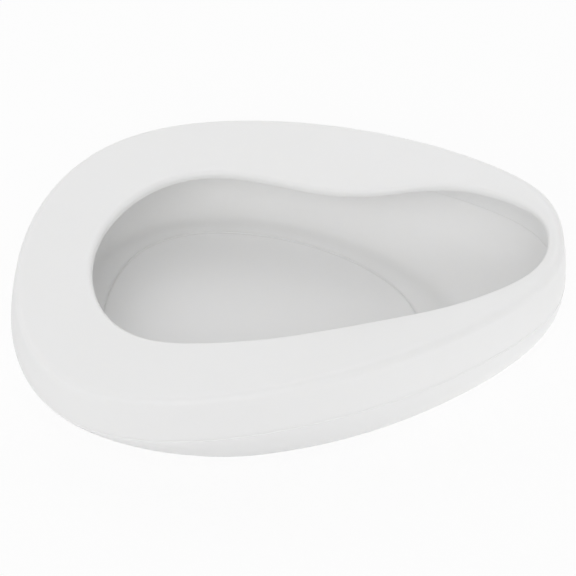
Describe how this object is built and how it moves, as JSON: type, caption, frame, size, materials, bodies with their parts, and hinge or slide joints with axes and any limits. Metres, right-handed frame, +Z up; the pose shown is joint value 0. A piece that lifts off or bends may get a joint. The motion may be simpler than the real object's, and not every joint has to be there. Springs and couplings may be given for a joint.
{
  "type": "bedpan",
  "caption": "Adult bedpan: wide low rear end, tall narrow front end, broad seat shelf with rolled lip over a smooth deep bowl with a flat floor on a low foot skirt.",
  "frame": {"origin": "centre of the overall bounding box at its bottom, on the ground plane under the foot ring", "axes": "+X along the length from the wide low rear end to the narrow tall front end, +Y across the width, +Z up; the XZ plane is the mirror plane"},
  "size_m": [0.3632, 0.286, 0.1032],
  "materials": {
    "white_plastic_seat": "smooth satin-gloss white polypropylene",
    "white_plastic_bowl": "smooth satin-gloss white polypropylene",
    "white_plastic_bead": "slightly glossier re-melted white polypropylene"
  },
  "bodies": {
    "root": {"seat_shell": "white_plastic_seat", "bowl_shell": "white_plastic_bowl", "weld_bead": "white_plastic_bead"}
  },
  "joints": []
}
